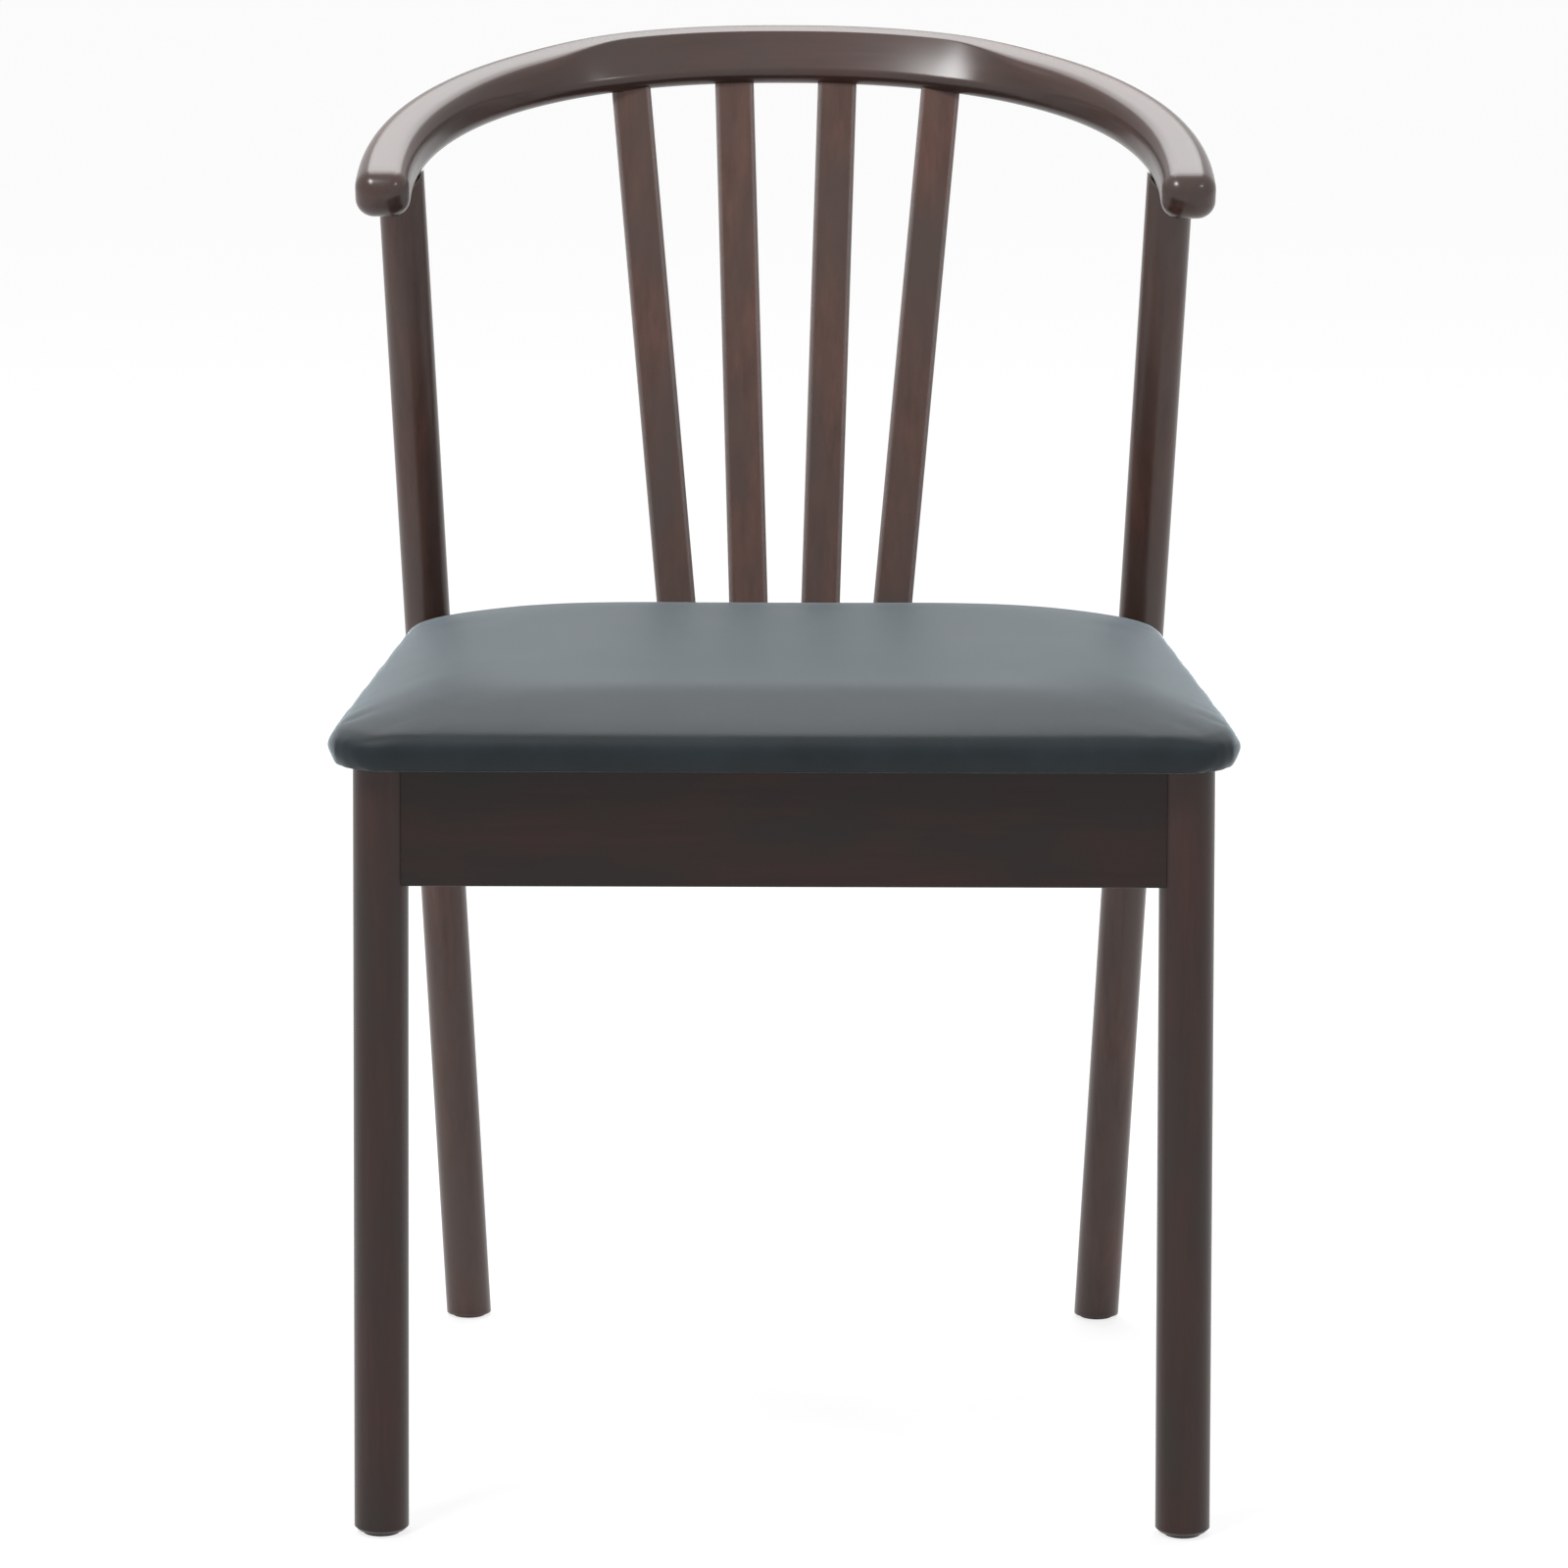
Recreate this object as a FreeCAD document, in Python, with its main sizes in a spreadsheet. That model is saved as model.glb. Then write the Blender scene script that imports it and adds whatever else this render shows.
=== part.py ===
"""Dining chair with a horseshoe bow rail, four fanned slats and an upholstered seat.

Millimetres. +Z is up, +Y is towards the back of the chair and +X is to the right of someone who
looks at its front. The origin is on the floor under the middle of the bounding box.
"""
import FreeCAD, Part
import math
import os
import re

import Sketcher
from FreeCAD import Placement, Rotation, Vector

# Driving dimensions, each written once
SIZES = {
    # Stance on the floor
    "frame_depth": (445.0, "from the front leg axes back to the rear feet"),
    "frame_forward": (1.95, "middle of that depth in front of the origin"),
    # Front legs
    "leg_diameter": (30.0, "front leg, turned round"),
    "leg_top": (429.5, "top of the legs and rails above the floor"),
    "leg_spacing_top": (433.5, "between the front leg axes at the rails"),
    "leg_spacing_foot": (440.0, "between the front leg axes at the floor"),
    "leg_foot_round": (2.0, "eased edge at the foot"),
    # Rear posts, one piece from the floor to the bow
    "post_diameter": (27.0, "rear post, turned round"),
    "post_foot_x": (192.8, "post axis at the floor"),
    "post_lean_out": (2.4, "degrees outwards going up"),
    "post_rake": (8.8, "degrees forwards going up"),
    "post_tenon_diameter": (17.0, "round tenon in the bow"),
    "post_tenon_length": (17.0, "round tenon above the post's shoulder"),
    # Rails under the seat
    "rail_height": (65.5, "front, side and rear rails"),
    "rail_thickness": (20.0, "front, side and rear rails"),
    "rail_edge_round": (1.5, "softened long edges of a rail"),
    "rear_rail_forward": (3.0, "tenons of the rear rail in front of the post axes"),
    "rear_rail_thickness": (28.0, "rear rail, which carries the slats and the back of the seat"),
    "rear_rail_step": (4.0, "middle of the rear rail in front of its tenons"),
    "tenon_thickness": (9.0, "rail tenons"),
    "tenon_height": (44.0, "rail tenons"),
    "tenon_reach": (32.0, "tenon and the part inside its rail, from the axis of the leg or post"),
    "glue_gap": (0.15, "clearance round every tenon"),
    # Bow: centre line is a superellipse in a plane that drops towards the front
    "bow_half_width": (230.2, "centre line, from the middle to an arm"),
    "bow_depth": (192.4, "centre line, from the arm ends to the back, in its plane"),
    "bow_fullness": (2.3, "exponent of the superellipse"),
    "bow_tilt": (19.9, "degrees, rising towards the back"),
    "bow_end_ahead": (163.5, "arm ends, where they start to round over, in front of the rear feet"),
    "bow_end_height": (705.7, "centre of the arm ends above the floor"),
    "bow_width": (31.5, "section across"),
    "bow_height": (28.0, "section, square to the bow's plane"),
    "bow_corner": (8.5, "round corners of the section"),
    "bow_end_squeeze": (0.6, "share of an arm end's inset that its round corners lose"),
    "bow_carve": (19.5, "how far the slanted back rest face is cut back at the top"),
    "bow_carve_drop": (17.0, "how far the slanted face reaches down"),
    "bow_carve_edge": (2.0, "crisp top edge of the slanted face"),
    "bow_carve_knee": (6.0, "edge where the slanted face meets the upright one"),
    "bow_back_edge": (4.5, "top edge at the back of the carved part"),
    "bow_carve_from": (20.0, "degrees from the middle, where the carving starts to fade"),
    "bow_carve_to": (49.0, "degrees from the middle, where the carving has faded"),
    "bow_end_round": (8.0, "round-over of an arm end"),
    # Slats
    "slat_width": (23.0, "flat slat"),
    "slat_thickness": (9.0, "flat slat"),
    "slat_edge_round": (2.0, "long edges of a slat"),
    "slat_back": (2.0, "slats behind the middle of the rear rail"),
    "slat_spacing_foot": (41.4, "between slats at the rear rail"),
    "slat_spacing_top": (62.2, "between slats at the bow"),
    "slat_housing_top": (13.0, "slat inside the bow"),
    "slat_housing_foot": (22.0, "slat inside the rear rail"),
    # Seat
    "seat_ahead": (31.0, "front of the cushion in front of the leg axes"),
    "seat_back_ahead": (69.0, "back of the cushion in front of the rear feet"),
    "seat_side_front": (31.75, "cushion beside the leg axes"),
    "seat_side_back": (25.7, "back edge of the cushion beside the rear feet"),
    "seat_front_corner": (30.0, "front corners in plan"),
    "seat_back_corner": (50.0, "back corners in plan"),
    "seat_crown_corner": (60.0, "corners grow by this much up to the flat of the crown"),
    "seat_edge_height": (11.5, "widest line of the cushion above the rails"),
    "seat_crown": (35.5, "top of the cushion above the rails"),
    "seat_tuck": (5.0, "sides drawn in at the board"),
    "seat_belly": (0.55, "share of the edge height where the sides start to draw in"),
    "seat_belly_tuck": (0.2, "share of the tuck at that height"),
    "seat_crown_rise": (0.9, "exponent, how soon the crown climbs"),
    "seat_crown_run": (1.5, "exponent, how late the crown moves inwards"),
    "seat_roll_turn": (70.0, "degrees that the rolled edges turn through up to the flat of the crown"),
    "seat_front_roll": (85.0, "front edge to the flat of the crown"),
    "seat_side_roll": (64.0, "side edge to the flat of the crown"),
    "seat_back_roll": (58.0, "back edge to the flat of the crown"),
    "skin_thickness": (1.2, "artificial leather"),
    "skin_margin": (16.0, "skin folded under the board"),
    "skin_mouth_corner": (8.0, "corners of the opening that the skin leaves under the board"),
    "skin_gap": (0.3, "foam to skin"),
    "board_thickness": (12.0, "plywood"),
    "dust_cover_thickness": (0.8, "black cloth under the board"),
    # Corner blocks and screws
    "block_leg": (58.0, "corner block along each rail"),
    "block_nose": (14.0, "square end of a corner block on each rail"),
    "block_relief": (12.0, "corner cut off beside the leg"),
    "block_height": (30.0, "corner block"),
    "block_drop": (0.3, "corner block below the top of the rails"),
    "screw_diameter": (4.0, "wood screws"),
    "screw_head_diameter": (8.0, "pan heads"),
    "screw_head_height": (2.6, "pan heads"),
    "screw_clearance": (0.2, "hole larger than its screw, all round"),
    "seat_screw_bite": (9.0, "screw inside the board"),
    "seat_screw_inset": (12.8, "screw from the faces of both rails"),
    # Glides under the feet
    "glide_diameter": (20.0, "nail-on glide"),
    "glide_thickness": (1.8, "nail-on glide"),
    "glide_nail_width": (2.6, "its square nail"),
    "glide_nail_length": (16.0, "its nail above the glide"),
}

# Lengths that follow from the sizes above
WORKED_OUT = {
    "leg_axis_y": "-frame_depth / 2 - frame_forward",
    "post_foot_y": "frame_depth / 2 - frame_forward",
    "bow_end_y": "frame_depth / 2 - frame_forward - bow_end_ahead",
    "seat_front_y": "-frame_depth / 2 - frame_forward - seat_ahead",
    "seat_back_y": "frame_depth / 2 - frame_forward - seat_back_ahead",
    "seat_front_width": "leg_spacing_top + 2 * seat_side_front",
    "seat_back_width": "2 * post_foot_x + 2 * seat_side_back",
    "rail_middle": "leg_top - rail_height / 2",
    "leg_length": "leg_top - glide_thickness - 3 * glue_gap",
    "leg_tenon_depth": "leg_diameter / 2 - tenon_thickness / 2 - 4 * glue_gap",
    "post_tenon_depth": "post_diameter / 2 - tenon_thickness / 2 - 4 * glue_gap",
    "board_inset": "seat_tuck + skin_thickness + 2 * skin_gap",
    "board_bottom": "leg_top + skin_thickness",
    "board_top": "leg_top + skin_thickness + board_thickness",
    "block_top": "leg_top - block_drop",
    "block_middle": "leg_top - block_drop - block_height / 2",
}

BOW_STEPS = 12  # stations on each half of the bow, besides the one in the middle
END_STEPS = 3  # outlines that round over an arm end
CUSHION_STEPS = 4  # outlines of the cushion above its widest line
SLAT_COUNT = 4
HOLE_RUN_OUT = 5.0  # how far a screw hole is cut on beyond its block
FLAT_ENOUGH = 1e-6
CLOSE_ENOUGH = 1e-3
CORNER_CHAMFER = 0.6  # chamfer for each mm of radius, just enough for two arcs of 45 degrees
SIDES = {"left": -1, "right": 1}

doc = FreeCAD.newDocument("BowBackChair")
sheet = doc.addObject("Spreadsheet::Sheet", "Sizes")


def fill_sheet():
    """One row per size: its name, its value with an alias, and what it measures."""
    row = 0
    for alias, (number, note) in SIZES.items():
        row += 1
        sheet.set(f"A{row}", alias)
        sheet.set(f"B{row}", str(number))
        sheet.setAlias(f"B{row}", alias)
        sheet.set(f"C{row}", note)
    for alias, text in WORKED_OUT.items():
        row += 1
        sheet.set(f"A{row}", alias)
        sheet.set(f"B{row}", "=" + text)
        sheet.setAlias(f"B{row}", alias)
    doc.recompute()


def formula(text):
    """The text of a formula with each size's name led by the sheet's."""
    return re.sub(r"\b([a-z]+(?:_[a-z]+)+)\b", r"Sizes.\1", text)


def value(text):
    """A formula's number, from the sheet."""
    return float(sheet.evalExpression(text))


def bind(target, **formulas):
    """Ties properties of an object to sizes in the sheet."""
    for name, text in formulas.items():
        target.setExpression(name, formula(text))


def upright(base, along):
    """Placement at a point, with local Z along a direction and local X kept across the chair."""
    z_axis = Vector(along).normalize()
    y_axis = z_axis.cross(Vector(1, 0, 0)).normalize()
    x_axis = y_axis.cross(z_axis)
    return Placement(base, Rotation(x_axis, y_axis, z_axis, "ZYX"))


def level_place(base, along):
    """Placement at a point, with local X along a level direction and local Z up."""
    x_axis = Vector(along).normalize()
    z_axis = Vector(0, 0, 1)
    return Placement(base, Rotation(x_axis, z_axis.cross(x_axis), z_axis, "XZY"))


def new_body(name):
    """An empty body."""
    return doc.addObject("PartDesign::Body", name)


def new_sketch(body, name, plane):
    """A sketch on one of the body's own origin planes."""
    sketch = body.newObject("Sketcher::SketchObject", name)
    support = next(item for item in body.Origin.OriginFeatures if item.Role == plane)
    sketch.AttachmentSupport = [(support, "")]
    sketch.MapMode = "FlatFace"
    return sketch


def hold(sketch, kind, text, *places):
    """A dimension of a sketch, tied to a formula."""
    index = sketch.addConstraint(Sketcher.Constraint(kind, *places, value(text)))
    sketch.setExpression(f"Constraints[{index}]", formula(text))


def draw_outline(sketch, corners):
    """A closed outline of straight lines through corners, each a pair of formulas."""
    points = [Vector(value(across), value(up), 0) for across, up in corners]
    count = len(points)
    for index in range(count):
        following = points[(index + 1) % count]
        sketch.addGeometry(Part.LineSegment(points[index], following), False)
    for index in range(count):
        sketch.addConstraint(Sketcher.Constraint("Coincident", index, 2, (index + 1) % count, 1))
    for index, (across, up) in enumerate(corners):
        if across == "0":
            sketch.addConstraint(Sketcher.Constraint("PointOnObject", index, 1, -2))
        else:
            hold(sketch, "DistanceX", across, -1, 1, index, 1)
        if up == "0":
            sketch.addConstraint(Sketcher.Constraint("PointOnObject", index, 1, -1))
        else:
            hold(sketch, "DistanceY", up, -1, 1, index, 1)


def pad_rectangle(body, name, plane, size_across, size_up, length):
    """A pad of a centred rectangle, half of its length on each side of the plane."""
    sketch = new_sketch(body, name + "_outline", plane)
    half_across = f"({size_across}) / 2"
    half_up = f"({size_up}) / 2"
    corners = [
        (f"-{half_across}", f"-{half_up}"),
        (half_across, f"-{half_up}"),
        (half_across, half_up),
        (f"-{half_across}", half_up),
    ]
    draw_outline(sketch, corners)
    pad = body.newObject("PartDesign::Pad", name)
    pad.Profile = sketch
    pad.Midplane = True
    bind(pad, Length=length)
    sketch.Visibility = False
    doc.recompute()
    return pad


def round_edges(body, name, base, test, radius):
    """A fillet of the base feature's edges that pass a test."""
    chosen = [f"Edge{index}" for index, edge in enumerate(base.Shape.Edges, 1) if test(edge)]
    fillet = body.newObject("PartDesign::Fillet", name)
    fillet.Base = (base, chosen)
    bind(fillet, Radius=radius)
    doc.recompute()
    return fillet


def centred_box(name, placement, length, width, height):
    """A box whose middle is at the placement's base, with sizes along its X, Y and Z."""
    box = doc.addObject("Part::Box", name)
    bind(box, Length=length, Width=width, Height=height)
    middle = Vector(value(length) / 2, value(width) / 2, value(height) / 2)
    box.Placement = placement.multiply(Placement(middle.negative(), Rotation()))
    return box


def tapered_bar(name, rings):
    """A round bar along Z through circles, each a radius and a height formula."""
    circles = []
    for index, (radius, height) in enumerate(rings):
        circle = doc.addObject("Part::Circle", f"{name}_ring_{index}")
        bind(circle, Radius=radius)
        circle.Placement = Placement(Vector(0, 0, value(height)), Rotation())
        circles.append(circle)
    bar = doc.addObject("Part::Loft", name)
    bar.Sections = circles
    bar.Solid = True
    bar.Ruled = True
    doc.recompute()
    return bar


def round_bar(name, placement, radius, length):
    """A cylinder that starts at the placement's base and runs along its Z."""
    bar = doc.addObject("Part::Cylinder", name)
    bind(bar, Radius=radius, Height=length)
    bar.Placement = placement
    return bar


def cut(name, base, tools):
    """The base less the tools."""
    result = doc.addObject("Part::Cut", name)
    result.Base = base
    result.Tool = fuse(name + "_tools", tools) if len(tools) > 1 else tools[0]
    doc.recompute()
    return result


def fuse(name, pieces):
    """Pieces glued into one solid."""
    result = doc.addObject("Part::MultiFuse", name)
    result.Shapes = pieces
    result.Refine = True
    doc.recompute()
    return result


def plain(name, shape):
    """A feature that holds a shape."""
    feature = doc.addObject("Part::Feature", name)
    feature.Shape = shape
    return feature


def strip(lower, upper):
    """The face between two edges: flat where it can be, else ruled."""
    corners = [lower.valueAt(lower.FirstParameter), lower.valueAt(lower.LastParameter),
               upper.valueAt(upper.LastParameter), upper.valueAt(upper.FirstParameter)]
    if lower.Curve.TypeId == "Part::GeomLine":
        normal = (corners[1] - corners[0]).cross(corners[3] - corners[0]).normalize()
        if abs((corners[2] - corners[0]).dot(normal)) < FLAT_ENOUGH:
            return Part.Face(Part.makePolygon(corners + corners[:1]))
    return Part.makeRuledSurface(lower, upper)


def ruled_loft(name, wires):
    """A solid whose skin runs straight from each wire to the next."""
    faces = [Part.Face(wires[0]), Part.Face(wires[-1])]
    for lower, upper in zip(wires, wires[1:]):
        faces += [strip(*edges) for edges in zip(lower.OrderedEdges, upper.OrderedEdges)]
    shell = Part.makeShell(faces)
    shell.sewShape()
    solid = Part.makeSolid(shell)
    solid.fix(FLAT_ENOUGH, FLAT_ENOUGH, FLAT_ENOUGH)
    return plain(name, solid)


parts = {}


def finish_part(label, result):
    """Names a finished piece."""
    result.Label = label
    parts[label] = result


def leg_axis(side, height):
    """A point on a front leg's axis at a height."""
    share = height / value("leg_top")
    half_top = value("leg_spacing_top / 2")
    half_foot = value("leg_spacing_foot / 2")
    return Vector(side * (half_foot + (half_top - half_foot) * share), value("leg_axis_y"), height)


def post_axis(side, height):
    """A point on a rear post's axis at a height."""
    out = height * math.tan(math.radians(value("post_lean_out")))
    forward = height * math.tan(math.radians(value("post_rake")))
    return Vector(side * (value("post_foot_x") + out), value("post_foot_y") - forward, height)


def bow_frame():
    """The middle of the line between the arm ends, and the bow's axes: back and up."""
    tilt = math.radians(value("bow_tilt"))
    origin = Vector(0, value("bow_end_y"), value("bow_end_height"))
    back = Vector(0, math.cos(tilt), math.sin(tilt))
    up = Vector(0, -math.sin(tilt), math.cos(tilt))
    return origin, back, up


def bow_station(angle):
    """Centre and outward direction of the bow's section, at an angle from the middle of the back."""
    half_width = value("bow_half_width")
    depth = value("bow_depth")
    power = value("bow_fullness")
    across = math.sin(math.radians(angle))
    back = max(math.cos(math.radians(angle)), 0.0)
    reach = (abs(across / half_width) ** power + (back / depth) ** power) ** (-1 / power)
    slope_across = math.copysign(abs(across * reach / half_width) ** (power - 1), across) / half_width
    slope_back = (back * reach / depth) ** (power - 1) / depth
    origin, back_axis, _ = bow_frame()
    centre = origin + Vector(across * reach, 0, 0) + back_axis * (back * reach)
    outward = Vector(slope_across, 0, 0) + back_axis * slope_back
    return centre, outward.normalize()


def rounded_wire(corners, radii):
    """A closed wire of lines and arcs round the corners of a convex outline."""
    count = len(corners)
    edges = []
    ends = []
    for index in range(count):
        here = corners[index]
        before = (corners[index - 1] - here).normalize()
        after = (corners[(index + 1) % count] - here).normalize()
        half_angle = before.getAngle(after) / 2
        reach = radii[index] / math.tan(half_angle)
        middle = (before + after).normalize() * (radii[index] / math.sin(half_angle) - radii[index])
        ends.append((here + before * reach, here + middle, here + after * reach))
    for index in range(count):
        start, middle, end = ends[index]
        edges.append(Part.Arc(start, middle, end).toShape())
        edges.append(Part.LineSegment(end, ends[(index + 1) % count][0]).toShape())
    return Part.Wire(edges)


def fade(number, low, high):
    """One below the low limit, nought above the high one and an even slope between."""
    share = min(max((high - number) / (high - low), 0.0), 1.0)
    return share * share * (3 - 2 * share)


def bow_section(angle, inset=0.0, beyond=0.0):
    """A section of the bow: a round-cornered square, slanted off at its inner top behind the sitter.

    Where the slant has faded, it is a small chamfer whose two arcs make one more round corner.
    The inset draws the section in, and it lies that far beyond its station.
    """
    centre, outward = bow_station(angle)
    _, back, up = bow_frame()
    half_width = value("bow_width / 2") - inset
    half_height = value("bow_height / 2") - inset
    carved = fade(abs(angle), value("bow_carve_from"), value("bow_carve_to"))
    soft = value("bow_corner") - inset * value("bow_end_squeeze")
    chamfer = soft * CORNER_CHAMFER
    cut_back = chamfer + (value("bow_carve") - chamfer) * carved
    cut_down = chamfer + (value("bow_carve_drop") - chamfer) * carved
    crisp = soft + (value("bow_carve_edge") - soft) * carved
    knee = soft + (value("bow_carve_knee") - soft) * carved
    top_round = soft + (value("bow_back_edge") - soft) * carved
    outline = [
        (-half_width, -half_height),
        (half_width, -half_height),
        (half_width, half_height),
        (-half_width + cut_back, half_height),
        (-half_width, half_height - cut_down),
    ]
    place = centre - back * beyond
    corners = [place + outward * across + up * rise for across, rise in outline]
    return rounded_wire(corners, [soft, soft, top_round, crisp, knee])


def bow_form():
    """The bow before its mortises: sections along the superellipse, arm ends rounded over."""
    radius = value("bow_end_round")
    caps = []
    for step in range(END_STEPS + 1):
        turn = math.radians(90.0 * step / END_STEPS)
        caps.append((radius * (1 - math.sin(turn)), radius * math.cos(turn)))
    left_end = [bow_section(-90.0, inset, beyond) for inset, beyond in caps]
    right_end = [bow_section(90.0, inset, beyond) for inset, beyond in reversed(caps)]
    stations = [90.0 * index / BOW_STEPS for index in range(1 - BOW_STEPS, BOW_STEPS)]
    return ruled_loft("bow_form", left_end + [bow_section(angle) for angle in stations] + right_end)


def is_upright_edge(edge):
    """An edge along its own frame's Z."""
    return edge.Curve.TypeId == "Part::GeomLine" and abs(edge.tangentAt(edge.FirstParameter).z) > 0.999


def slat_line(index):
    """Where a slat's axis leaves the rear rail and where it meets the bow's centre line."""
    place = index - (SLAT_COUNT - 1) / 2
    rail_y = rail_ends("rear")[0].y
    foot = Vector(place * value("slat_spacing_foot"), rail_y + value("slat_back"), value("leg_top"))
    top_x = place * value("slat_spacing_top")
    low = -90.0
    high = 90.0
    while high - low > CLOSE_ENOUGH:
        angle = (low + high) / 2
        if bow_station(angle)[0].x < top_x:
            low = angle
        else:
            high = angle
    return foot, bow_station(low)[0]


def slat_box(name, index, gap):
    """A slat's outline from its housing in the rear rail to its housing in the bow."""
    foot, top = slat_line(index)
    along = (top - foot).normalize()
    inside = value("bow_height / 2 - slat_housing_top")
    start = foot - along * value("slat_housing_foot")
    end = top - along * inside
    middle = (start + end) * 0.5
    place = upright(middle, along)
    body = new_body(name)
    length = (end - start).Length + 2 * gap
    pad = pad_rectangle(body, name + "_strip", "XY_Plane", f"slat_width + 2 * {gap}",
                        f"slat_thickness + 2 * {gap}", str(length))
    if gap == 0:
        round_edges(body, name + "_edges", pad, is_upright_edge, "slat_edge_round")
    body.Placement = place
    return body


def make_slats():
    """Four flat slats, fanned out from the rear rail to the bow."""
    for index in range(SLAT_COUNT):
        finish_part(f"slat_{index + 1}", slat_box(f"slat_{index + 1}_body", index, 0))


def rail_ends(kind, side=0):
    """The two leg or post axes that a rail joins, at the middle of its height."""
    middle = value("rail_middle")
    if kind == "front":
        return leg_axis(-1, middle), leg_axis(1, middle)
    if kind == "rear":
        forward = Vector(0, -value("rear_rail_forward"), 0)
        return post_axis(-1, middle) + forward, post_axis(1, middle) + forward
    return leg_axis(side, middle), post_axis(side, middle)


def rail_place(start, end):
    """Placement of a rail: local X along it, local Z up, base at its middle."""
    return level_place((start + end) * 0.5, end - start)


def member_radius(kind):
    """Radius of a front leg or a rear post at the rails, as a formula."""
    return "leg_diameter / 2" if kind == "leg" else "post_diameter / 2"


def tenon(name, start, end, depth_from_axis, gap):
    """A tenon at the start of a rail, or with a gap its mortise; it ends short of the leg's axis."""
    along = (end - start).normalize()
    begin = start + along * (depth_from_axis - gap)
    length = value("tenon_reach") - depth_from_axis + gap
    place = level_place(begin + along * (length / 2), along)
    return centred_box(name, place, str(length), f"tenon_thickness + 2 * {gap}",
                       f"tenon_height + 2 * {gap}")


def tenon_start(kind):
    """Distance from the axis of a leg or post to the end of a tenon in it."""
    return value(f"{member_radius(kind)} - {kind}_tenon_depth")


def scribe(name, member, side):
    """A leg or post with the glue gap round it, which shapes the end of a rail."""
    axis = leg_axis if member == "leg" else post_axis
    low = axis(side, value("leg_top - 2 * rail_height"))
    high = axis(side, value("leg_top + rail_height"))
    return round_bar(name, upright(low, high - low), f"{member_radius(member)} + glue_gap",
                     str((high - low).Length))


def block_corner(end, side):
    """Inner corner of two rails at the block's height, and directions along the cross and side rails."""
    half = value("rail_thickness / 2")
    cross_half = half if end == "front" else value("rear_rail_thickness / 2 + rear_rail_step")
    level = value("block_middle")
    cross_y = rail_ends(end)[0].y
    into = 1 if end == "front" else -1
    start, stop = rail_ends("side", side)
    slope = (stop.x - start.x) / (stop.y - start.y)
    inner_shift = half * math.hypot(1, slope)
    face_y = cross_y + into * cross_half
    face_x = start.x + slope * (face_y - start.y) - side * inner_shift
    along_side = Vector(slope, 1, 0).normalize() * into
    return Vector(face_x, face_y, level), Vector(-side, 0, 0), along_side


def make_rail(label, start, end, start_member, end_member, thickness, step):
    """A rail: a plank scribed to the round legs, with a tenon in each.

    Its middle lies a step in front of its tenons.
    """
    blank = new_body(label + "_plank")
    length = (end - start).Length - value("rail_thickness + 4 * glue_gap")
    pad = pad_rectangle(blank, label + "_pad", "YZ_Plane", thickness, "rail_height", str(length))
    round_edges(blank, label + "_edges", pad,
                lambda edge: abs(edge.tangentAt(edge.FirstParameter).x) > 0.999, "rail_edge_round")
    forward = Vector(0, -value(step), 0)
    blank.Placement = rail_place(start + forward, end + forward)
    scribes = [scribe(f"{label}_scribe_{index}", member, side)
               for index, (member, side) in enumerate((start_member, end_member))]
    shaped = cut(label + "_shaped", blank, scribes)
    tenons = [
        tenon(label + "_tenon_start", start, end, tenon_start(start_member[0]), 0),
        tenon(label + "_tenon_end", end, start, tenon_start(end_member[0]), 0),
    ]
    return fuse(label + "_joined", [shaped] + tenons)


def screw_shape(tip, shank):
    """An upright pan-head screw: shank to its tip, head below."""
    radius = value("screw_diameter / 2")
    head_radius = value("screw_head_diameter / 2")
    head = value("screw_head_height")
    outline = [
        Vector(0, 0, 0),
        Vector(radius, 0, 0),
        Vector(radius, 0, -shank),
        Vector(head_radius, 0, -shank),
        Vector(head_radius, 0, -shank - head),
        Vector(0, 0, -shank - head),
    ]
    face = Part.Face(Part.makePolygon(outline + outline[:1]))
    screw = face.revolve(Vector(0, 0, 0), Vector(0, 0, 1), 360)
    screw.Placement = Placement(tip, Rotation())
    return screw


def seat_screws():
    """Tip and direction of each screw through a corner block into the seat board."""
    found = []
    for end in ("front", "rear"):
        for side in SIDES.values():
            corner, along_cross, along_side = block_corner(end, side)
            spot = corner + (along_cross + along_side) * value("seat_screw_inset")
            tip = Vector(spot.x, spot.y, value("board_bottom + seat_screw_bite"))
            found.append(tip)
    return found


def seat_screw_length():
    """Shank of a seat screw, from the underside of its block to its tip."""
    return value("board_bottom + seat_screw_bite - block_top + block_height")


def hole(name, tip, length, extra=0.0):
    """The clearance hole of an upright screw, from its tip down along its shank."""
    start = Placement(tip - Vector(0, 0, length + extra), Rotation())
    return round_bar(name, start, "screw_diameter / 2 + screw_clearance",
                     f"{length + extra} + screw_clearance")


def make_rails():
    """Front, rear and two side rails."""
    start, end = rail_ends("front")
    front = make_rail("front_rail", start, end, ("leg", -1), ("leg", 1), "rail_thickness", "0")
    finish_part("front_rail", front)
    start, end = rail_ends("rear")
    rear = make_rail("rear_rail", start, end, ("post", -1), ("post", 1), "rear_rail_thickness",
                     "rear_rail_step")
    housings = [slat_box(f"slat_housing_rail_{index}", index, value("glue_gap"))
                for index in range(SLAT_COUNT)]
    finish_part("rear_rail", cut("rear_rail_housed", rear, housings))
    for name, side in SIDES.items():
        start, end = rail_ends("side", side)
        label = f"side_rail_{name}"
        finish_part(label, make_rail(label, start, end, ("leg", side), ("post", side), "rail_thickness", "0"))


def nail_form(name, foot, gap):
    """A glide's square nail from inside its disc, or with a gap its hole in a foot."""
    height = "glide_nail_length + glide_thickness / 2"
    middle = value(f"glide_thickness / 2 + ({height}) / 2")
    width = f"glide_nail_width + 2 * {gap}"
    place = Placement(Vector(foot.x, foot.y, middle), Rotation())
    return centred_box(name, place, width, width, f"{height} + 2 * {gap}")


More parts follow.
